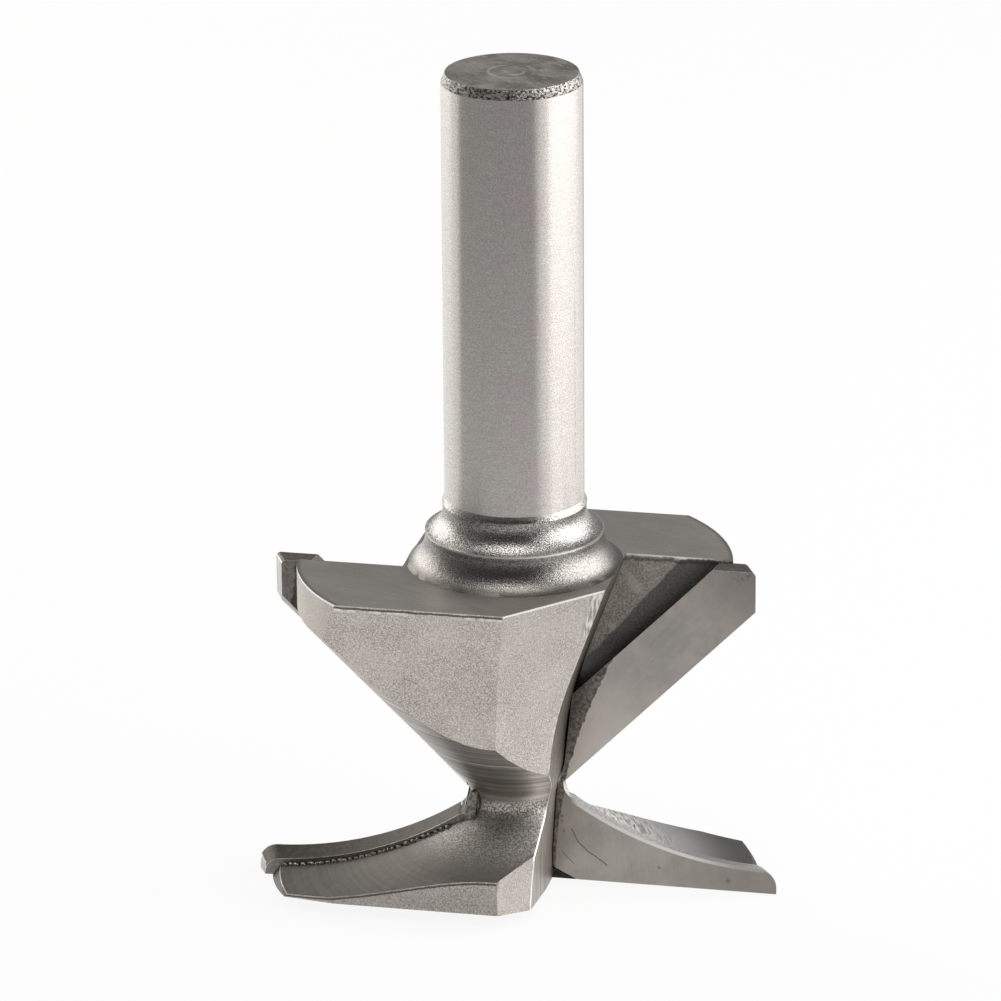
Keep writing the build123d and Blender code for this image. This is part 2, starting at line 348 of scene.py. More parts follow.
def ground_shank():
    finish = Finish("ground_shank", roughness=0.27, anisotropic=0.8)
    finish.upright()
    rings = finish.noise(1.0, 3, finish.stretched((0.5, 0.5, 7.0)))
    grain = finish.noise(0.13, 2)
    patches = finish.noise(3.5, 4, rough=0.6)
    base = finish.greys(rings, 0.3, 0.7, 210, 218, 7)
    flat = finish.joined(finish.x, finish.y, 0.0)
    facing = finish.vector("DOT_PRODUCT", flat, (sin(TINT_AZIMUTH), -cos(TINT_AZIMUTH), 0.0))
    pink = finish.times(finish.between(patches, 0.42, 0.66), finish.between(facing, 5.2, 6.2), 0.35)
    tinted = finish.blend(pink, base, tone(222, 200, 207))
    speckled = finish.blend(finish.between(grain, 0.4, 0.6, 0.0, 0.45), tinted, finish.grey(168, 6))
    side = finish.vector("DISTANCE", flat, SHANK_SCRATCH)
    broken = finish.between(finish.noise(0.4, 3), 0.42, 0.56)
    reach = finish.times(
        finish.between(finish.z, SHANK_SCRATCH_TOP_Z + 2.5, SHANK_SCRATCH_TOP_Z),
        finish.between(finish.z, SHANK_SCRATCH_FOOT_Z - 1.0, SHANK_SCRATCH_FOOT_Z),
    )
    scratch = finish.times(finish.between(side, 0.12, 0.02), reach, broken)
    finish.colour(finish.laid(speckled, scratch, 0.55, 120))
    finish.relief((rings, 0.002), (grain, 0.006), (scratch, -0.01))
    return finish.material


def shank_end():
    finish = Finish("faced_shank_end", roughness=0.5, light=1.25)
    radius = finish.radius()
    rings = finish.number("SINE", finish.times(radius, 14.0))
    wide = finish.noise(2.2, 3)
    fine = finish.noise(0.3, 4)
    around = finish.noise(2.4, 2)
    # Painted highlight: broken light arcs on the rings round the pip and the ledge
    pip = finish.times(finish.line(finish.minus(radius, PIP_R), 0.08, 0.12), finish.between(around, 0.42, 0.55))
    ledge = finish.times(finish.line(finish.minus(radius, LEDGE_R), 0.07, 0.12), finish.between(around, 0.55, 0.45))
    scuffs = finish.between(finish.noise(0.9, 5, finish.turned(0.6, (1, 3, 1), (0, 0, 1))), 0.56, 0.64)
    base = finish.greys(wide, 0.3, 0.7, 108, 144)
    marked = finish.laid(base, scuffs, 0.35, 190)
    ring_highlighted = finish.blend(finish.add(finish.times(pip, 0.5), finish.times(ledge, 0.35)), marked, finish.grey(206))
    finish.colour(ring_highlighted)
    finish.relief((rings, 0.005), (fine, 0.02), (pip, 0.02))
    return finish.material


def rough_chamfer():
    finish = Finish("rough_chamfer", roughness=0.32)
    chatter = finish.noise(0.3, 4, finish.stretched((1, 1, 1.6)), 0.65)
    finish.colour(finish.greys(chatter, 0.4, 0.6, 60, 182))
    finish.relief((chatter, 0.11))
    return finish.material


def ground_ring():
    finish = Finish("ground_ring", roughness=0.34)
    fine = finish.noise(0.2, 3)
    finish.colour(finish.greys(fine, 0.35, 0.65, 140, 180))
    finish.relief((fine, 0.03))
    return finish.material


def blasted_hub():
    finish = Finish("turned_hub", roughness=0.2, light=0.97)
    fine = finish.noise(0.11, 3, rough=0.6)
    coarse = finish.noise(0.4, 3)
    rings = finish.noise(1.0, 2, finish.stretched((0.3, 0.3, 5.0)))
    base = finish.greys(fine, 0.38, 0.62, 104, 204, 5)
    spotted = finish.blend(finish.between(coarse, 0.5, 0.75, 0.0, 0.35), base, finish.grey(134))
    # Painted highlight along the ridge, and a painted shadow just under it
    ridge = finish.line(finish.minus(finish.z, RIDGE_Z - 0.05), 0.06, 0.06)
    under = finish.line(finish.minus(finish.z, RIDGE_Z - 0.4), 0.1, 0.15)
    shaded = finish.laid(spotted, under, 0.4, 90)
    # Painted shade: the lower cove is darker, and darker still at the foot of the hub
    lower = finish.between(finish.z, RIDGE_Z - 0.35, RIDGE_Z - 1.15)
    shaded_lower_cove = finish.laid(shaded, lower, 0.6, 116)
    foot = finish.between(finish.z, HEAD_TOP_Z + 0.7, HEAD_TOP_Z + 0.2)
    shaded_foot = finish.laid(shaded_lower_cove, foot, 0.7, 92)
    finish.colour(finish.blend(ridge, shaded_foot, finish.grey(228, 4)))
    finish.relief((coarse, 0.016), (fine, 0.032), (rings, 0.004))
    return finish.material


def milled_top():
    finish = Finish("milled_top", roughness=0.5, light=1.45)
    sweep = finish.noise(1.0, 3, finish.turned(0.35, (0.35, 5.0, 1.0), (0, 0, 1)))
    fine = finish.noise(0.2, 3)
    wide = finish.noise(5.0, 2)
    base = finish.greys(sweep, 0.3, 0.7, 128, 137)
    cloudy = finish.blend(finish.between(wide, 0.35, 0.7, 0.0, 0.4), base, finish.grey(114))
    speckled = finish.blend(finish.between(fine, 0.5, 0.7, 0.0, 0.25), cloudy, finish.grey(156))
    # Painted shadow: a dark band along the outer edge of the top
    rim = finish.between(finish.radius(), HEAD_R - 0.5, HEAD_R - 0.15)
    finish.colour(finish.laid(speckled, rim, 0.6, 84))
    finish.relief((sweep, 0.005), (fine, 0.015))
    return finish.material


def blasted_steel(name, pale, deep, specks, light, warm):
    """Even blasted steel with fine grain; returns the finish, its colour and the layers of its relief."""
    finish = Finish(name, roughness=0.6, light=light)
    fine = finish.noise(0.115, 2, rough=0.7)
    middle = finish.noise(0.4, 3)
    wide = finish.noise(4.5, 2)
    pits = finish.between(finish.noise(0.26, 2), 0.69, 0.76)
    base = finish.greys(fine, 0.36, 0.64, deep, pale, warm)
    mottled = finish.blend(finish.between(middle, 0.48, 0.8, 0.0, 0.2), base, finish.grey(deep - 4, warm))
    cloudy = finish.blend(finish.between(wide, 0.35, 0.75, 0.0, 0.3), mottled, finish.grey(pale, warm))
    pitted = finish.blend(finish.times(pits, specks), cloudy, finish.grey(104, warm))
    return finish, pitted, [(middle, 0.015), (fine, 0.025)]


def rear_face():
    finish, base, layers = blasted_steel("blasted_rear_face", 210, 144, 0.7, 1.22, 8)
    ragged = finish.add(finish.z, finish.times(finish.noise(0.9, 3), 0.22))
    # Painted shadow: a dark broken line just under the top edge
    dark_lip = finish.line(finish.minus(ragged, HEAD_TOP_Z - 0.16), 0.09, 0.06)
    # Painted highlight: a broken light line below it
    bright_lip = finish.times(
        finish.between(ragged, HEAD_TOP_Z - 0.65, HEAD_TOP_Z - 0.45),
        finish.between(ragged, HEAD_TOP_Z - 0.2, HEAD_TOP_Z - 0.3),
        finish.between(finish.noise(1.1, 3, finish.stretched((1, 1, 0.2))), 0.44, 0.6),
    )
    front = finish.between(finish.y, 0.0, -1.0)
    pit = finish.times(front, finish.spot(REAR_PIT, 0.15, 0.08))
    scratch = finish.times(front, finish.stroke(REAR_SCRATCH, 0.02, 0.06, 0.3))
    # Painted shade: darker towards the bottom
    low = finish.between(finish.z, 4.4, 2.4)
    shaded_low = finish.laid(base, low, 0.2, 128, 5)
    below = finish.minus(finish.foot_height(), finish.add(finish.z, finish.times(finish.noise(0.6, 3), 0.12)))
    # Painted shade: a dark line just under the edge of the foot's hollow
    foot_edge = finish.times(finish.between(finish.z, 6.0, 5.0), finish.line(finish.minus(below, 0.13), 0.06, 0.05))
    shaded = finish.laid(shaded_low, foot_edge, 0.8, 60, 3)
    lip_highlighted = finish.laid(shaded, bright_lip, 0.7, 226, 4)
    lined = finish.laid(lip_highlighted, dark_lip, 0.85, 70, 3)
    marks = finish.most(finish.times(pit, 0.6), finish.times(scratch, 0.55))
    finish.colour(finish.blend(marks, lined, finish.grey(86)))
    finish.relief(*layers, (pit, -0.03))
    return finish.material


def slant_face():
    finish, base, layers = blasted_steel("blasted_slant_face", 208, 150, 0.35, 1.12, 7)
    along = finish.vector("DOT_PRODUCT", finish.place, (cos(SLANT_ANGLE), sin(SLANT_ANGLE), 0.0))
    streaks = finish.noise(1.0, 3, finish.joined(
        finish.times(finish.add(along, finish.times(finish.z, 0.2)), 4.0),
        finish.times(finish.z, 0.7),
        0.0,
    ))
    front = finish.between(finish.y, 0.0, -1.0)
    patch = finish.times(
        front,
        finish.between(finish.add(along, finish.times(finish.noise(0.8, 2), 0.8)), 0.2, 1.4),
        finish.between(finish.z, 26.2, 27.6),
    )
    milled = finish.greys(streaks, 0.4, 0.6, 136, 222)
    # Painted shade: darker towards the bottom
    low = finish.between(finish.z, 7.2, 5.2)
    worked = finish.blend(finish.times(patch, 0.75), base, milled)
    # Painted highlight: a light line along the top edge
    lip = finish.line(finish.minus(finish.z, HEAD_TOP_Z - 0.14), 0.08, 0.06)
    lined = finish.laid(worked, lip, 0.85, 240, 3)
    finish.colour(finish.laid(lined, low, 0.35, 124))
    finish.relief(*layers, (finish.times(streaks, patch), 0.04))
    return finish.material


def head_side():
    finish, base, layers = blasted_steel("turned_head_side", 212, 176, 0.2, 1.1, 8)
    # Painted highlight: a near white line along the top edge
    rim = finish.between(finish.z, HEAD_TOP_Z - 0.24, HEAD_TOP_Z - 0.18)
    finish.colour(finish.blend(rim, base, finish.grey(246, 2)))
    finish.relief(*layers)
    return finish.material


def turned_cone():
    finish = Finish("turned_cone", roughness=0.42, light=2.4)
    radius = finish.radius()
    rings = finish.noise(1.0, 3, finish.joined(finish.times(finish.z, 4.5), finish.times(radius, 0.4), 0.0))
    fine = finish.noise(0.14, 3)
    # Painted shade in the groove, and a painted highlight on the crest beside it
    groove = finish.line(finish.minus(finish.z, GROOVE_Z), 0.04, 0.08)
    crest = finish.line(finish.minus(finish.z, CREST_Z), 0.04, 0.06)
    lower = finish.between(finish.z, NECK_Z - 0.4, NECK_Z - 2.0)
    metal = finish.greys(rings, 0.3, 0.7, 101, 138)
    lined = finish.laid(metal, groove, 0.6, 70)
    crested = finish.laid(lined, crest, 0.5, 170)
    grainy = finish.greys(fine, 0.4, 0.62, 64, 132)
    finish.colour(finish.blend(lower, crested, grainy))
    finish.roughness(finish.between(lower, 0.0, 1.0, 0.42, 0.32))
    finish.relief((rings, 0.015), (groove, -0.03), (finish.times(fine, lower), 0.03), (fine, 0.01))
    return finish.material


def foot_hollow():
    finish = Finish("turned_foot", roughness=0.55, light=0.95)
    radius = finish.radius()
    rings = finish.noise(1.0, 3, finish.joined(finish.times(radius, 3.0), finish.times(finish.z, 0.3), 0.0))
    fine = finish.noise(0.15, 3)
    brushed = finish.noise(1.0, 3, finish.turned(-0.9, (0.5, 5.0, 1.0), (0, 0, 1)))
    near_neck = finish.between(radius, 10.5, 6.5)
    smear = finish.between(finish.noise(1.8, 4, rough=0.6), 0.5, 0.65)
    base = finish.greys(rings, 0.3, 0.7, 106, 116)
    streaked = finish.laid(base, finish.between(brushed, 0.52, 0.66), 0.25, 140)
    smeared = finish.laid(streaked, smear, 0.15, 134)
    grainy = finish.greys(fine, 0.4, 0.64, 130, 190)
    hollow = finish.blend(near_neck, smeared, grainy)
    hatch = finish.noise(1.0, 3, finish.turned(radians(69), (0.5, 7.0, 1.0), (0, 0, 1)), 0.6)
    # Painted light: wing a's hollow is near white by the neck and darkens outwards; the hatch lines are cut marks
    wing_a = finish.between(finish.x, 4.0, 5.0)
    pale = finish.greys(radius, 8.0, 19.0, 252, 154, 3)
    far = finish.between(radius, 16.5, 21.0, 0.0, 0.75)
    dimmed = finish.blend(far, pale, finish.grey(84, 3))
    cut = finish.times(finish.between(hatch, 0.46, 0.62), finish.between(radius, 17.0, 11.0))
    lined = finish.blend(cut, dimmed, finish.grey(120))
    finish.colour(finish.blend(wing_a, hollow, lined))
    finish.relief((rings, 0.006), (brushed, 0.006), (finish.times(fine, near_neck), 0.018), (fine, 0.01))
    return finish.material


def foot_rim():
    finish = Finish("foot_rim", roughness=0.45)
    fine = finish.noise(0.2, 4)
    mottled = finish.greys(fine, 0.35, 0.65, 60, 94)
    # Painted highlight: a light line along the top edge
    lip_highlighted = finish.blend(finish.between(finish.z, RIM_TOP_Z - 0.04, RIM_TOP_Z), mottled, finish.grey(150))
    finish.colour(finish.blend(finish.between(finish.x, 0.0, 1.0), lip_highlighted, finish.grey(30)))
    finish.relief((fine, 0.03))
    return finish.material


def gullet_wall():
    finish = Finish("ground_gullet_wall", roughness=0.5, light=2.4)
    streaks = finish.noise(1.0, 4, finish.stretched((3.0, 3.4, 0.2)), 0.6)
    fine = finish.noise(0.18, 3)
    base = finish.greys(streaks, 0.3, 0.7, 66, 88)
    grained = finish.blend(finish.between(fine, 0.5, 0.7, 0.0, 0.3), base, finish.grey(134))
    # Lighter towards the bottom
    low = finish.between(finish.z, 12.0, 7.0)
    lighter_low = finish.greys(streaks, 0.3, 0.7, 98, 126)
    lighter_below = finish.blend(low, grained, lighter_low)
    # Painted shade: darker beside the plate
    wing_y = finish.times(finish.y, finish.number("SIGN", finish.x))
    corner = finish.between(wing_y, 0.9, 1.5)
    finish.colour(finish.laid(lighter_below, corner, 0.5, 50))
    finish.relief((streaks, 0.04), (fine, 0.02))
    return finish.material


def shaded_corner():
    # Painted shade: unground steel in the corner under a lower plate's chamfer, near black
    finish = Finish("shaded_corner", roughness=0.6)
    finish.colour(finish.greys(finish.noise(0.4, 3), 0.4, 0.6, 44, 62))
    return finish.material


def brazed_pocket():
    finish = Finish("brazed_pocket", roughness=0.5, light=2.8)
    mottle = finish.noise(0.2, 4, rough=0.65)
    wide = finish.noise(2.2, 4, finish.turned(radians(40), (1.6, 1.0, 0.7)))
    fine = finish.noise(0.16, 3)
    # Brazing stain deepened as a painted shadow of the plate: a dark band along the plate's upper edge
    above = finish.number("DIVIDE", finish.minus(finish.z, finish.add(finish.out, BACK_EDGE_RISE)), DIAGONAL)
    wobble = finish.add(above, finish.times(finish.minus(finish.noise(1.3, 3), 0.5), 0.5))
    band = finish.minus(wobble, finish.times(finish.minus(finish.z, BAND_FOOT_Z), 0.1))
    shade_darkened = finish.between(band, 1.15, 0.9)
    base = finish.greys(mottle, 0.35, 0.65, 74, 108)
    cloudy = finish.blend(finish.between(wide, 0.4, 0.7, 0.0, 0.5), base, finish.grey(122))
    speckled = finish.blend(finish.between(fine, 0.5, 0.7, 0.0, 0.4), cloudy, finish.grey(132))
    black = finish.greys(mottle, 0.4, 0.6, 58, 72, 2)
    brown = finish.greys(mottle, 0.4, 0.6, 94, 110, 2)
    stain_and_shade = finish.blend(finish.between(finish.z, 19.0, 23.0), brown, black)
    darkened = finish.blend(shade_darkened, speckled, stain_and_shade)
    # Painted highlight along the wavy top edge, with a painted shadow under it
    waves = finish.add(finish.z, finish.times(finish.noise(1.0, 3, finish.stretched((1.6, 1, 0.4))), 0.5))
    burr = finish.between(waves, HEAD_TOP_Z + 0.02, HEAD_TOP_Z + 0.14)
    below = finish.times(
        finish.between(waves, HEAD_TOP_Z - 0.45, HEAD_TOP_Z - 0.3),
        finish.between(waves, HEAD_TOP_Z - 0.05, HEAD_TOP_Z - 0.15),
    )
    shaded = finish.laid(darkened, below, 0.6, 40)
    finish.colour(finish.blend(burr, shaded, finish.grey(190)))
    finish.relief((mottle, 0.025), (fine, 0.02))
    return finish.material


def end_ground():
    finish = Finish("ground_end", roughness=0.45)
    lines = finish.noise(1.0, 3, finish.turned(0.25, (0.4, 6.0, 1.0), (0, 0, 1)))
    fine = finish.noise(0.2, 3)
    finish.colour(finish.greys(lines, 0.3, 0.7, 112, 150))
    finish.relief((lines, 0.015), (fine, 0.01))
    return finish.material


def worn_highlight_edge():
    finish = Finish("worn_highlight_edge", roughness=0.35)
    # Edges rubbed light, lightened further as a painted highlight
    nicks = finish.noise(0.5, 4)
    finish.colour(finish.greys(nicks, 0.3, 0.6, 170, 214))
    finish.relief((nicks, 0.02))
    return finish.material


def bright_edge():
    finish = Finish("bright_edge", roughness=0.3, light=1.3)
    nicks = finish.noise(0.5, 4)
    # Painted highlight: near white along the lower part of the edges by the gullet wall
    edge_highlight = finish.between(finish.z, 12.0, 9.0)
    thin = finish.greys(nicks, 0.3, 0.6, 150, 206)
    finish.colour(finish.blend(edge_highlight, thin, finish.grey(246, 3)))
    finish.relief((nicks, 0.01))
    return finish.material


def ground_carbide():
    finish = Finish("ground_carbide", roughness=0.44, light=1.15)
    wide = finish.noise(2.6, 4, rough=0.6)
    fine = finish.noise(0.12, 2)
    lines = finish.noise(1.0, 3, finish.turned(radians(52), (0.25, 1.0, 4.5)))
    pale = finish.blend(0.5, finish.grey(168, 9), tone(178, 168, 165))
    base = finish.blend(finish.between(wide, 0.35, 0.65), finish.grey(150, 5), pale)
    brushed = finish.blend(finish.between(lines, 0.35, 0.7, 0.0, 0.14), base, finish.grey(178, 5))
    speck = finish.between(finish.noise(0.3, 3), 0.72, 0.78)
    corner = finish.times(finish.between(finish.out, 19.6, 20.4), finish.between(finish.z, 30.0, 30.6))
    chips = finish.times(corner, finish.between(finish.noise(0.3, 3), 0.52, 0.6))
    # Painted light: the rake face darkens towards its far upper corner and lightens near the wall
    far_corner = finish.between(finish.add(finish.out, finish.z), 42.0, 54.0, 0.0, 0.8)
    shaded = finish.blend(far_corner, brushed, finish.grey(126, 7))
    near_wall = finish.between(finish.add(finish.out, finish.z), 34.0, 22.0, 0.0, 0.7)
    light_graded = finish.blend(near_wall, shaded, finish.grey(192, 9))
    marked = finish.blend(finish.most(finish.times(speck, 0.4), finish.times(chips, 0.6)), light_graded, finish.grey(96))
    rise = finish.minus(finish.z, UPPER_SKIN_Z)
    curve = finish.add(
        finish.times(rise, UPPER_SKIN_SLOPE),
        finish.times(rise, rise, UPPER_SKIN_CURVE),
        UPPER_SKIN_X,
    )
    ragged = finish.add(finish.out, finish.times(finish.minus(finish.noise(0.7, 4), 0.5), 0.55))
    raw = finish.between(finish.minus(ragged, curve), 0.08, -0.08)
    rough_raw = finish.noise(0.3, 4, rough=0.65)
    unground = finish.blend(finish.between(rough_raw, 0.35, 0.65), finish.grey(82, 6), finish.grey(128, 8))
    # Painted shade: the unground skin darkens further in towards the wall
    deep = finish.between(finish.minus(curve, finish.out), 0.4, 1.6)
    shade_darkened = finish.laid(unground, deep, 0.45, 60, 5)
    finish.colour(finish.blend(raw, marked, shade_darkened))
    finish.relief((lines, 0.006), (fine, 0.004), (finish.times(rough_raw, raw), 0.04))
    return finish.material


def lower_carbide():
    finish = Finish("ground_lower_carbide", roughness=0.44)
    wide = finish.noise(2.6, 4, rough=0.6)
    fine = finish.noise(0.14, 3)
    lines = finish.noise(1.0, 3, finish.turned(radians(8), (4.0, 1.0, 0.25)))
    base = finish.blend(finish.between(wide, 0.3, 0.7), finish.grey(148, 7), finish.grey(164, 8))
    brushed = finish.blend(finish.between(lines, 0.35, 0.7, 0.0, 0.25), base, finish.grey(172, 5))
    # A honed land along the cutting edge, lightened as a painted glint that fades outwards
    from_cove = finish.vector("DISTANCE", finish.joined(finish.out, 0.0, finish.z), (COVE_X, 0.0, COVE_Z))
    land = finish.times(
        finish.between(from_cove, COVE_R + 0.38, COVE_R + 0.28),
        finish.between(finish.out, 4.6, 5.6),
    )
    fade = finish.between(finish.out, 15.0, 21.0, 1.0, 0.2)
    # Painted shade: the rake face darkens outwards
    darker = finish.blend(finish.between(finish.out, 12.0, 22.0, 0.0, 0.6), brushed, finish.grey(128, 7))
    bright = finish.blend(finish.times(land, fade), darker, finish.grey(208, 5))
    scratches = finish.most(
        finish.stroke(LONG_SCRATCH, 0.01, 0.07, 0.35),
        finish.times(finish.stroke(SHORT_SCRATCH, 0.01, 0.06, 0.35), 0.7),
    )
    dots = finish.most(*[finish.spot((x, RAKE_Y, z), size, soft) for x, z, size, soft in LOWER_PITS])
    front = finish.between(finish.x, 0.0, 1.0)
    marks = finish.times(front, finish.most(finish.times(scratches, 0.7), finish.times(dots, 0.5)))
    marked = finish.blend(marks, bright, finish.grey(66))
    limit = finish.add(finish.times(finish.z, finish.z, LOWER_SKIN_CURVE), LOWER_SKIN_X)
    ragged = finish.add(finish.out, finish.times(finish.minus(finish.noise(0.5, 3), 0.5), 0.3))
    raw = finish.between(finish.minus(ragged, limit), 0.08, -0.08)
    skin = finish.blend(finish.between(finish.noise(0.3, 4), 0.35, 0.65), finish.grey(82, 7), finish.grey(128, 9))
    finish.colour(finish.blend(raw, marked, skin))
    finish.roughness(finish.between(land, 0.0, 1.0, 0.44, 0.32))
    finish.relief((lines, 0.006), (fine, 0.005), (scratches, -0.015))
    return finish.material


def cove_relief():
    finish = Finish("relief_ground_carbide", roughness=0.3)
    hatch = finish.noise(1.0, 3, finish.turned(radians(-38), (0.5, 7.0, 7.0), (0, 0, 1)))
    fine = finish.noise(0.15, 3)
    # Painted light: wing a's relief is light near the axis and darker outwards, and wing b's is a dark shaded copy
    outer = finish.between(finish.out, 11.0, 17.0)
    inner = finish.greys(hatch, 0.38, 0.62, 170, 250)
    smooth = finish.greys(hatch, 0.3, 0.7, 140, 172)
    wing_a = finish.blend(outer, inner, smooth)
    shaded_wing_b = finish.greys(hatch, 0.3, 0.7, 62, 82)
    finish.colour(finish.blend(finish.between(finish.x, -1.0, 1.0), shaded_wing_b, wing_a))
    finish.roughness(finish.between(finish.x, -1.0, 1.0, 0.5, 0.3))
    finish.relief((hatch, 0.015), (fine, 0.006))
    return finish.material


def bevel_relief():
    finish = Finish("bevel_relief", roughness=0.36)
    lines = finish.noise(1.0, 3, finish.stretched((0.6, 6.0, 0.6)))
    finish.colour(finish.greys(lines, 0.3, 0.7, 214, 236))
    finish.relief((lines, 0.006))
    return finish.material


def carbide_side():
    finish = Finish("sintered_side", roughness=0.5)
    skin = finish.noise(0.3, 4, rough=0.65)
    finish.colour(finish.greys(skin, 0.35, 0.65, 84, 112))
    finish.relief((skin, 0.03))
    return finish.material


def carbide_back():
    finish = Finish("sintered_back", roughness=0.5)
    skin = finish.noise(0.35, 4, rough=0.65)
    base = finish.greys(skin, 0.35, 0.65, 114, 142)
    # Brazing stain with painted shade: a dark band on the back beside the steel
    limit = finish.add(BACK_STAIN_SHADE_X, finish.between(finish.z, 31.0, 24.0, 0.15, 1.0))
    ragged = finish.add(finish.out, finish.times(finish.minus(finish.noise(0.9, 4), 0.5), 0.9))
    stain_and_shade = finish.times(finish.between(finish.minus(ragged, limit), 0.15, -0.15), finish.between(finish.z, 20.0, 22.0))
    stain_and_shade_laid = finish.laid(base, stain_and_shade, 0.8, 58)
    margin = finish.number("DIVIDE", finish.minus(finish.z, finish.add(finish.out, BEVEL_RISE)), DIAGONAL)
    ground = finish.times(finish.between(margin, 0.4, 0.3), finish.between(finish.z, 11.5, 12.5))
    finish.colour(finish.blend(ground, stain_and_shade_laid, finish.grey(226, 3)))
    finish.relief((skin, 0.03))
    return finish.material


def carbide_land():
    finish = Finish("cylindrical_land", roughness=0.36, light=1.08)
    lines = finish.noise(1.0, 3, finish.stretched((3.0, 3.0, 0.4)))
    finish.colour(finish.greys(lines, 0.3, 0.7, 196, 220, 5))
    finish.relief((lines, 0.01))
    return finish.material


def nose_side():
    finish = Finish("nose_side", roughness=0.4)
    lines = finish.noise(1.0, 3, finish.stretched((3.0, 3.0, 0.4)))
    margin = finish.between(finish.number("ABSOLUTE", finish.y), RAKE_Y + 0.45, RAKE_Y + 0.3)
    base = finish.greys(lines, 0.3, 0.7, 166, 188)
    finish.colour(finish.blend(margin, base, finish.grey(250, 2)))
    finish.relief((lines, 0.01))
    return finish.material


def braze_metal():
    finish = Finish("brazing_alloy", roughness=0.42)
    lumps = finish.noise(0.4, 4)
    film = finish.blend(finish.between(lumps, 0.35, 0.65), finish.grey(116, 10), finish.grey(164, 14))
    # Painted highlight: the film is near white where it stands out by the neck
    proud = finish.times(finish.between(finish.z, 6.8, 7.4), finish.between(finish.z, 10.2, 9.8))
    finish.colour(finish.blend(proud, film, finish.grey(240, 3)))
    finish.relief((lumps, 0.05))
    return finish.material


def braze_beads():
    finish = Finish("braze_beads", roughness=0.34)
    lumps = finish.noise(0.25, 4)
    beaded = finish.blend(finish.between(lumps, 0.38, 0.62), finish.grey(112, 12), finish.grey(172, 14))
    filled = finish.greys(lumps, 0.4, 0.6, 104, 148)
    finish.colour(finish.blend(finish.between(finish.z, 4.6, 5.4), beaded, filled))
    finish.relief((lumps, 0.04))
    return finish.material


def near(value, target, tolerance=0.06):
    return abs(value - target) < tolerance


def steel_region(centre, normal):
    """Which finish a face of the steel body has, from its place and direction in millimetres."""
    x, y, z = centre
    radius = hypot(x, y)
    side = 1 if x > 0 else -1
    if z > END_Z - 0.05:
        return "shank_end"
    if z > SHANK_CHAMFER_Z:
        return "rough_chamfer"
    if z > SHANK_FOOT_Z:
        return "ground_shank"
    if z > RING_Z:
        return "ground_ring"
    if near(z, HEAD_TOP_Z, 0.02) and normal.z > 0.99:
        return "milled_top"
    if z > HEAD_TOP_Z:
        return "blasted_hub"
    if near(y * side, SEAT_Y, 0.02) and normal.y * side < -0.99:
        return "brazed_pocket"
    # The corner under a lower plate takes a near black finish, as painted shade
    in_corner = RAKE_Y - 0.05 < y * side < SEAT_Y and 2.9 < abs(x) < 5.5
    if z < SHADED_CORNER_TOP_Z and in_corner and normal.x * side < 0.9:
        return "shaded_corner"
    if abs(normal.y) < 0.02 and normal.x * side > 0.6 and y * side < SEAT_Y and 2.5 < abs(x) < 11:
        return "gullet_wall"
    for half in (1, -1):
        if near(hypot(y * half + REAR_CENTRE_Y, z - NECK_Z), REAR_R) and normal.y * half < -0.9:
            return "rear_face"
        across = (x * sin(SLANT_ANGLE) - y * cos(SLANT_ANGLE)) * half
        square = (normal.x * sin(SLANT_ANGLE) - normal.y * cos(SLANT_ANGLE)) * half
        if near(hypot(SLANT_CENTRE - across, z - NECK_Z), SLANT_R) and square > 0.8:
            return "slant_face"
    if z < FOOT_UNDER_Z and normal.z < -0.9:
        return "end_ground"
    if near(radius, HEAD_R, 0.08) and z > 20:
        return "head_side"
    if z > CONE_FOOT_Z:
        return "turned_cone"
    if radius > RIM_R - 0.05 and normal.z < 0.9:
        return "foot_rim"
    if radius > 14 and abs(normal.z) < 0.1:
        return "rear_face"
    return "foot_hollow"


def tip_region(centre, normal, kind):
    """Which finish a face of a plate has. Wing b is looked at as wing a."""
    side = 1 if centre.x > 0 else -1
    y, nx = centre.y * side, normal.x * side
    if near(y, RAKE_Y, 0.01):
        return "ground_carbide" if kind == "upper" else "lower_carbide"
    if near(y, BACK_Y, 0.01):
        return "carbide_back"
    if kind == "upper":
        if nx > 0.8:
            return "carbide_land"
        return "bevel_relief" if normal.z < -0.3 else "carbide_side"
    if nx > 0.8 and abs(centre.x) > 15:
        return "nose_side"
    if nx < -0.8 or normal.z < -0.2:
        return "end_ground"
    return "cove_relief"


finishes = {
    "shank_end": shank_end(),
    "rough_chamfer": rough_chamfer(),
    "ground_shank": ground_shank(),
    "ground_ring": ground_ring(),
    "milled_top": milled_top(),
    "brazed_pocket": brazed_pocket(),
    "shaded_corner": shaded_corner(),
    "gullet_wall": gullet_wall(),
    "blasted_hub": blasted_hub(),
    "rear_face": rear_face(),
    "slant_face": slant_face(),
    "end_ground": end_ground(),
    "head_side": head_side(),
    "turned_cone": turned_cone(),
    "foot_rim": foot_rim(),
    "foot_hollow": foot_hollow(),
    "ground_carbide": ground_carbide(),
    "lower_carbide": lower_carbide(),
    "carbide_side": carbide_side(),
    "carbide_back": carbide_back(),
    "cove_relief": cove_relief(),
    "bevel_relief": bevel_relief(),
    "carbide_land": carbide_land(),
    "nose_side": nose_side(),
    "worn_highlight_edge": worn_highlight_edge(),
    "bright_edge": bright_edge(),
    "braze_metal": braze_metal(),
    "braze_beads": braze_beads(),
}


def ease_ring(point):
    """Lowers and narrows the ring under the shank a little."""
    radius = hypot(point.x, point.y)
    if radius > SHANK_R - 0.05 and near(point.z, SHANK_FOOT_Z, 0.02):
        point.z -= RING_DROP
    elif radius > SHANK_R + 0.2 and near(point.z, RING_Z, 0.02):
        point.xy *= (SHANK_R + RING_PROUD) / radius


def clamped(value):
    return min(max(value, 0.0), 1.0)


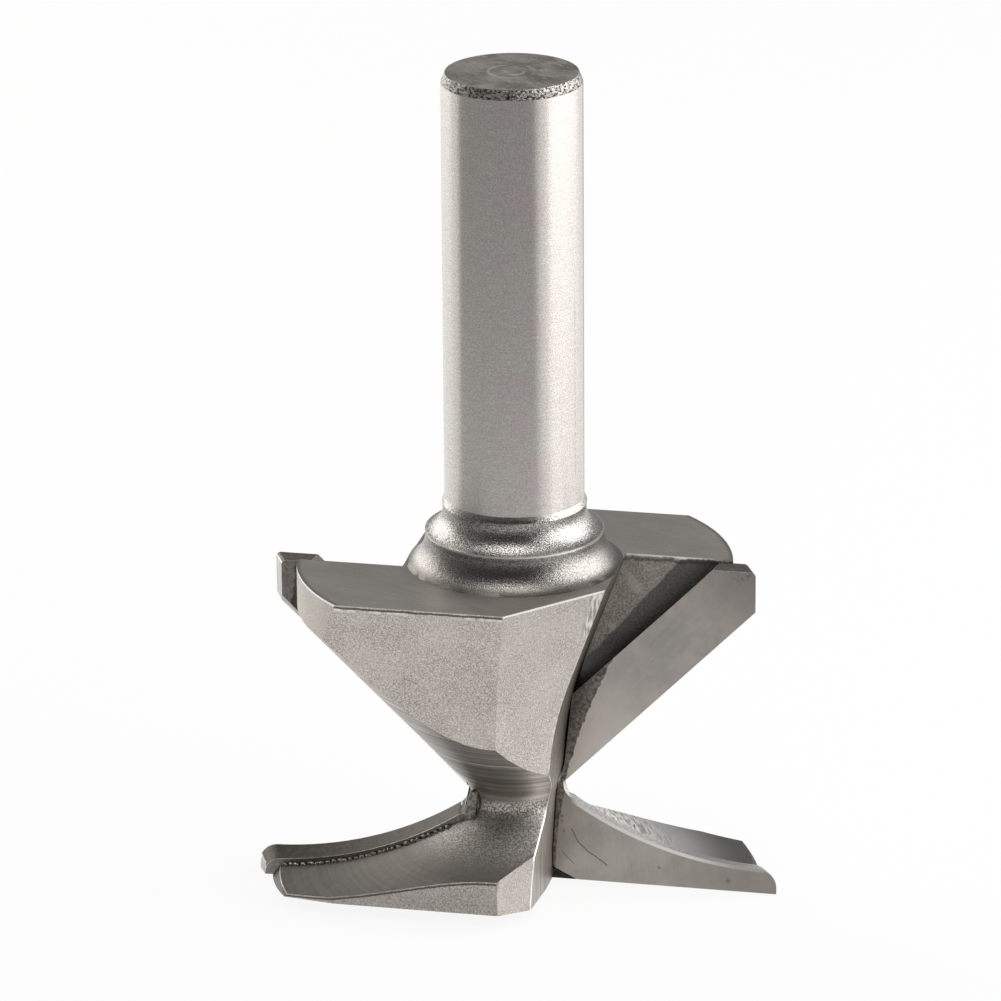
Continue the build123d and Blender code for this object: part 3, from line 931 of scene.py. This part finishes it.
def plate_depth(point):
    """0 on the rake face of a plate, 1 on its back."""
    return clamped((abs(point.y) - RAKE_Y) / (BACK_Y - RAKE_Y))


def ease_upper_root(point):
    """Lifts the back corner of an upper plate where it runs out beside the neck."""
    if point.z < UPPER_ROOT_Z:
        point.z += (UPPER_ROOT_Z - point.z) * UPPER_ROOT_SHARE * plate_depth(point)
    if point.z < UPPER_FOOT_Z:
        point.z -= UPPER_FOOT_DROP


def ease_lower_root(point):
    """Lowers the back corner of a lower plate where it runs out beside the neck."""
    inner = clamped(LOWER_ROOT_X - abs(point.x))
    if point.z > LOWER_ROOT_Z:
        point.z -= (point.z - LOWER_ROOT_Z) * LOWER_ROOT_SHARE * plate_depth(point) * inner


def break_edges(shape, edges, width, material):
    """Rounds edges by a width and gives the new faces the material of that number."""
    bmesh.ops.bevel(
        shape,
        geom=edges,
        offset=width * MM,
        offset_type="OFFSET",
        segments=2,
        profile=0.5,
        affect="EDGES",
        clamp_overlap=True,
        material=material,
    )


def face_order(face):
    """A number of its own for each face of a piece, from its first three corners."""
    first, second, third = sorted(vert.index for vert in face.verts)[:3]
    return (first * MOST_CORNERS + second) * MOST_CORNERS + third


def placed(name, mesh):
    """An object for a finished mesh, at the origin, which rides on the bit."""
    piece = bpy.data.objects.new(name, mesh)
    bpy.context.scene.collection.objects.link(piece)
    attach(piece, "root")
    return piece


def dressed(node, name, regions, ease, edge_width):
    """A copy of a CAD node, eased, with its small edges broken and a finish for each of its faces."""
    shape = bmesh.new()
    shape.from_mesh(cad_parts[node].data)
    bmesh.ops.remove_doubles(shape, verts=shape.verts[:], dist=MERGE_DISTANCE * MM)
    for vert in shape.verts:
        point = vert.co / MM
        ease(point)
        vert.co = point * MM
    bmesh.ops.dissolve_limit(shape, angle_limit=FLAT_ANGLE, verts=shape.verts[:], edges=shape.edges[:])
    shape.normal_update()
    used = []
    for face in shape.faces:
        region = regions(face.calc_center_median() / MM, face.normal)
        if region not in used:
            used.append(region)
        face.material_index = used.index(region)
        face.smooth = True
    beside_wall = {"slant_face", "turned_cone", "foot_hollow", "rear_face"}
    rolled = []
    for edge in shape.edges:
        beside = {used[face.material_index] for face in edge.link_faces}
        if "gullet_wall" in beside and beside & beside_wall and edge.calc_face_angle(0.0) > SHARP_ANGLE:
            rolled.append(edge)
    if rolled:
        used.append("bright_edge")
        break_edges(shape, rolled, WALL_EDGE, len(used) - 1)
    used.append("worn_highlight_edge")
    corners = [
        edge for edge in shape.edges
        if len(edge.link_faces) == 2
        and edge.calc_face_angle() > SHARP_ANGLE
        and "bright_edge" not in {used[face.material_index] for face in edge.link_faces}
    ]
    break_edges(shape, corners, edge_width, len(used) - 1)
    # The bevel leaves the faces in an order that changes from run to run
    shape.verts.index_update()
    shape.faces.sort(key=face_order)
    for face in shape.faces:
        face.smooth = True
    mesh = bpy.data.meshes.new(name)
    shape.to_mesh(mesh)
    shape.free()
    for attribute in ("custom_normal", "sharp_edge", "sharp_face"):
        if attribute in mesh.attributes:
            mesh.attributes.remove(mesh.attributes[attribute])
    for region in used:
        mesh.materials.append(finishes[region])
    mesh.set_sharp_from_angle(angle=SHADED_SHARP_ANGLE)
    piece = placed(name, mesh)
    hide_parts(node)
    weighted = piece.modifiers.new("even_normals", "WEIGHTED_NORMAL")
    weighted.keep_sharp = True


def foot_height(x, y):
    """Height of the hollow upper side of the foot."""
    return FOOT_COVE_Z - sqrt(FOOT_COVE_R**2 - (FOOT_COVE_X - hypot(x, y)) ** 2)


def add_lump(lumps, pick, side, centre, half_sizes, uneven):
    """An uneven ball of alloy, its centre given as on wing a."""
    for vert in bmesh.ops.create_icosphere(lumps, subdivisions=2, radius=1.0)["verts"]:
        wobble = 1 + pick.uniform(-uneven, uneven)
        x, y, z = (c + v * half * wobble for c, v, half in zip(centre, vert.co, half_sizes))
        vert.co = Vector((x * side, y * side, z)) * MM


def beads(name, side, seed):
    """Small lumps of brazing alloy along the seam behind a lower plate, and the fillet between plate and neck."""
    pick = random.Random(seed)
    lumps = bmesh.new()
    x = BEADS_FROM_X
    while x < BEADS_TO_X:
        width = pick.uniform(0.22, 0.38)
        y = SEAT_Y + BEAD_PROUD + pick.uniform(-0.03, 0.06)
        z = foot_height(x, y) + pick.uniform(-0.06, 0.05)
        add_lump(lumps, pick, side, (x, y, z), (width, BEAD_DEPTH, BEAD_HEIGHT), 0.12)
        x += width * pick.uniform(1.3, 2.3)
    for step in range(FILLET_STEPS):
        taper = max(step - FILLET_TAPER_STEP, 0)
        centre = (FILLET_X - 0.025 * taper, SEAT_Y + BEAD_PROUD, FILLET_Z + FILLET_RISE * step)
        half_sizes = (FILLET_WIDTH - 0.014 * taper, FILLET_DEPTH, FILLET_HEIGHT)
        add_lump(lumps, pick, side, centre, half_sizes, 0.03)
    bmesh.ops.recalc_face_normals(lumps, faces=lumps.faces[:])
    for face in lumps.faces:
        face.smooth = True
    mesh = bpy.data.meshes.new(name)
    lumps.to_mesh(mesh)
    lumps.free()
    mesh.materials.append(finishes["braze_beads"])
    placed(name, mesh)


dressed("steel_body", "dressed_steel_body", steel_region, ease_ring, STEEL_EDGE)
for wing, side in (("a", 1), ("b", -1)):
    for kind in ("upper", "lower"):
        dressed(
            f"{kind}_tip_{wing}",
            f"dressed_{kind}_tip_{wing}",
            lambda centre, normal, kind=kind: tip_region(centre, normal, kind),
            ease_upper_root if kind == "upper" else ease_lower_root,
            CARBIDE_EDGE,
        )
        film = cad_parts[f"{kind}_braze_{wing}"]
        film.data.materials.clear()
        film.data.materials.append(finishes["braze_metal"])
    beads(f"seam_beads_{wing}", side, 7 + side)


# Camera, as the photograph was taken
camera_data = bpy.data.cameras.new("photo_camera")
camera = bpy.data.objects.new("photo_camera", camera_data)
bpy.context.scene.collection.objects.link(camera)
bpy.context.scene.camera = camera
camera_data.lens = LENS
camera_data.sensor_width = SENSOR
camera_data.clip_start = 0.01
camera_data.clip_end = 20.0
level_out = cos(CAMERA_ELEVATION)
back = Vector((sin(CAMERA_AZIMUTH) * level_out, -cos(CAMERA_AZIMUTH) * level_out, sin(CAMERA_ELEVATION)))
right = Vector((cos(CAMERA_AZIMUTH), sin(CAMERA_AZIMUTH), 0))
up = back.cross(right)
place = Vector((0, 0, AIM_Z)) * MM + back * CAMERA_DISTANCE * MM - right * AIM_LEFT * MM
level = Matrix((right, up, back)).transposed().to_4x4()
camera.matrix_world = Matrix.Translation(place) @ level @ Matrix.Rotation(-CAMERA_ROLL, 4, "Z")


def lamp(name, azimuth_deg, height, distance, width, tall, brightness, colour=(1, 1, 1)):
    """A soft box that looks at the bit, sizes in metres. Azimuth 0 is in front, 90 is at the right."""
    data = bpy.data.lights.new(name, "AREA")
    data.shape = "RECTANGLE"
    data.size = width
    data.size_y = tall
    data.energy = brightness * width * tall * pi
    data.color = colour
    light = bpy.data.objects.new(name, data)
    bpy.context.scene.collection.objects.link(light)
    a = radians(azimuth_deg)
    spot = Vector((sin(a) * distance, -cos(a) * distance, height))
    light.location = spot
    light.rotation_mode = "QUATERNION"
    light.rotation_quaternion = (Vector((0, 0, LAMP_AIM_Z)) - spot).to_track_quat("-Z", "Y")
    light.visible_camera = False


lamp("right_box", 106, 0.2, 0.45, 0.7, 0.5, 3.2)
lamp("left_box", -124, 0.18, 0.5, 0.42, 0.45, 2.6, (1.0, 0.99, 0.95))
lamp("top_box", 10, 0.6, 0.1, 0.36, 0.36, 2.6)


def joined_nodes(tree, kind, *values, **settings):
    """A node with its inputs fed in order and its properties set."""
    node = tree.nodes.new(kind)
    for name, value in settings.items():
        setattr(node, name, value)
    for socket, value in zip(node.inputs, values):
        if isinstance(value, bpy.types.NodeSocket):
            tree.links.new(value, socket)
        elif value is not None:
            socket.default_value = value
    return node


def smooth_fall(tree, value, fall):
    """A smooth step of a value, by a fall that holds where it starts and ends, and the values there."""
    node = joined_nodes(tree, "ShaderNodeMapRange", value, *fall, interpolation_type="SMOOTHSTEP")
    return node.outputs[0]


# Pale floor: white where it is looked at, with the bit's own soft shadow. Mirrored, it falls off outwards,
# apart from a white card at the right and one at the left, behind the bit
bpy.ops.mesh.primitive_plane_add(size=FLOOR_SIZE, location=(0, 0, -FLOOR_DROP))
floor = bpy.context.object
floor.name = "floor"
floor_material = bpy.data.materials.new("pale_floor")
floor_material.use_nodes = True
tree = floor_material.node_tree
tree.nodes.clear()
path = tree.nodes.new("ShaderNodeLightPath")
spread = tree.nodes.new("ShaderNodeTexCoord")
reach = joined_nodes(tree, "ShaderNodeVectorMath", spread.outputs["Object"], operation="LENGTH")
bearing = joined_nodes(tree, "ShaderNodeVectorMath", spread.outputs["Object"], operation="NORMALIZE")
away = joined_nodes(tree, "ShaderNodeMapRange", reach.outputs["Value"], *CARDS_REACH)
glossy = smooth_fall(tree, reach.outputs["Value"], MIRRORED_FALL)
for card_azimuth, start, full, brightness in CARDS:
    towards = (sin(radians(card_azimuth)), -cos(radians(card_azimuth)), 0.0)
    along = joined_nodes(tree, "ShaderNodeVectorMath", bearing.outputs[0], towards, operation="DOT_PRODUCT")
    white = smooth_fall(tree, along.outputs["Value"], (start, full, 0.0, brightness))
    stood = joined_nodes(tree, "ShaderNodeMath", white, away.outputs[0], operation="MULTIPLY")
    glossy = joined_nodes(tree, "ShaderNodeMath", glossy, stood.outputs[0], operation="MAXIMUM").outputs[0]
strength = joined_nodes(tree, "ShaderNodeMath", path.outputs["Is Camera Ray"], glossy, operation="MAXIMUM")
mirrored = joined_nodes(
    tree, "ShaderNodeMath", path.outputs["Is Glossy Ray"], path.outputs["Is Transmission Ray"], operation="MAXIMUM"
)
seen = joined_nodes(tree, "ShaderNodeMath", path.outputs["Is Camera Ray"], mirrored.outputs[0], operation="MAXIMUM")
share = joined_nodes(tree, "ShaderNodeMath", seen.outputs[0], FLOOR_GLOW, operation="MULTIPLY")
paint = joined_nodes(tree, "ShaderNodeBsdfDiffuse", (0.8, 0.8, 0.79, 1))
glow = joined_nodes(tree, "ShaderNodeEmission", (1, 1, 1, 1), strength.outputs[0])
mixed = joined_nodes(tree, "ShaderNodeMixShader", share.outputs[0], paint.outputs[0], glow.outputs[0])
joined_nodes(tree, "ShaderNodeOutputMaterial", mixed.outputs[0])
floor.data.materials.append(floor_material)

# Room: white where it is looked at. For the light it is grey, darker behind the camera, with a pale wall at the
# right and behind
world = bpy.data.worlds.new("studio")
bpy.context.scene.world = world
world.use_nodes = True
tree = world.node_tree
tree.nodes.clear()
path = tree.nodes.new("ShaderNodeLightPath")
spread = tree.nodes.new("ShaderNodeTexCoord")
parts = joined_nodes(tree, "ShaderNodeSeparateXYZ", spread.outputs["Generated"])
towards_wall = joined_nodes(
    tree, "ShaderNodeVectorMath", spread.outputs["Generated"], WALL_WAY, operation="DOT_PRODUCT"
)
dim = smooth_fall(tree, parts.outputs[1], ROOM_FALL)
wall = smooth_fall(tree, towards_wall.outputs["Value"], WALL_FALL)
lit = joined_nodes(tree, "ShaderNodeMath", dim, wall, operation="MAXIMUM")
room = joined_nodes(tree, "ShaderNodeBackground", (1, 1, 1, 1), lit.outputs[0])
backdrop = joined_nodes(tree, "ShaderNodeBackground", (1, 1, 1, 1), 1.0)
mixed = joined_nodes(tree, "ShaderNodeMixShader", path.outputs["Is Camera Ray"], room.outputs[0], backdrop.outputs[0])
joined_nodes(tree, "ShaderNodeOutputWorld", mixed.outputs[0])

bpy.context.scene.view_settings.view_transform = "Standard"
